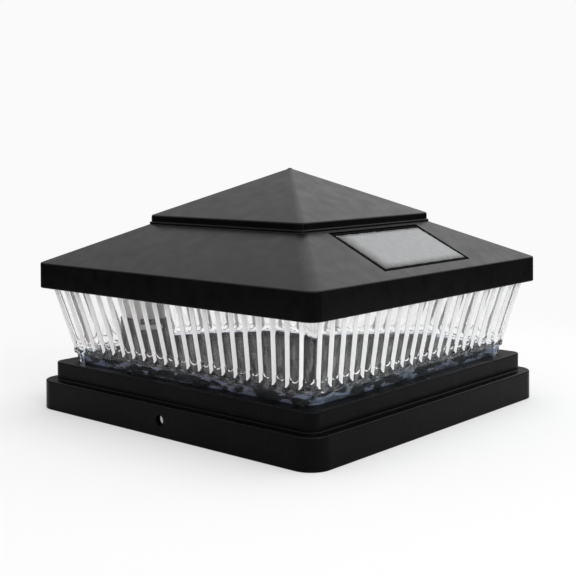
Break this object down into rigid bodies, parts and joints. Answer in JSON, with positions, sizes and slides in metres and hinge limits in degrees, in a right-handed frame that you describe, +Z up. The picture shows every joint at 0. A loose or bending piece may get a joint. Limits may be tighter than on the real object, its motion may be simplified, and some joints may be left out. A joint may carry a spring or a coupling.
{
  "type": "deck post cap light",
  "caption": "Square hip-roofed solar light that caps a fence or deck post, with a fluted clear lens, roof solar panel, lift-off head, bayonet battery cap and slide switch.",
  "frame": {"origin": "centre of the underside, in the plane of the skirt's lower edge", "axes": "+Z up along the post, +X towards the roof slope that holds the solar panel"},
  "size_m": [0.16, 0.16, 0.1051],
  "materials": {
    "black_plastic": "moulded, semi-gloss",
    "clear_plastic": "clear polystyrene, polished",
    "white_plastic": "moulded, satin",
    "sealant": "cured silicone",
    "board_green": "solder mask",
    "silicon": "cell strips",
    "resin": "poured resin",
    "screw_steel": "zinc plated",
    "lamp": "clear epoxy",
    "chip_black": "moulded",
    "coil_green": "dipped",
    "can_blue": "sleeved",
    "switch_metal": "tinned",
    "knob_black": "moulded",
    "cell_sleeve": "shrink sleeve",
    "contact_metal": "nickel plated",
    "cap_black": "moulded, ribbed",
    "wire_red": "insulation",
    "wire_black": "insulation"
  },
  "bodies": {
    "base": {"base_housing": "black_plastic"},
    "head": {"lens": "clear_plastic", "roof_shell": "black_plastic", "panel_sealant": "sealant", "panel_board": "board_green", "solar_cells": "silicon", "panel_resin": "resin", "reflector_tray": "white_plastic", "tray_screws": "screw_steel", "circuit_board": "board_green", "board_screws": "screw_steel", "leds": "lamp", "charge_chip": "chip_black", "inductor": "coil_green", "capacitor": "can_blue", "switch_body": "switch_metal", "battery_tube": "white_plastic", "tube_screws": "screw_steel", "battery_cell": "cell_sleeve", "contact_plate": "contact_metal", "contact_strip": "contact_metal", "panel_wire_red": "wire_red", "panel_wire_black": "wire_black", "battery_wire_red": "wire_red", "battery_wire_black": "wire_black"},
    "cap": {"battery_cap": "cap_black", "contact_disc": "contact_metal", "contact_spring": "contact_metal"},
    "knob": {"switch_knob": "knob_black"}
  },
  "joints": [
    {"name": "head_lift", "type": "slide", "parent": "base", "child": "head", "axis": [0, 0, 1], "range_m": [0, 0.06]},
    {"name": "cap_turn", "type": "hinge", "parent": "head", "child": "cap", "pos_m": [-0.041, -0.049, 0.03], "axis": [0, 0, 1], "range_deg": [0, 60]},
    {"name": "switch_slide", "type": "slide", "parent": "head", "child": "knob", "axis": [1, 0, 0], "range_m": [0, 0.0025]}
  ]
}
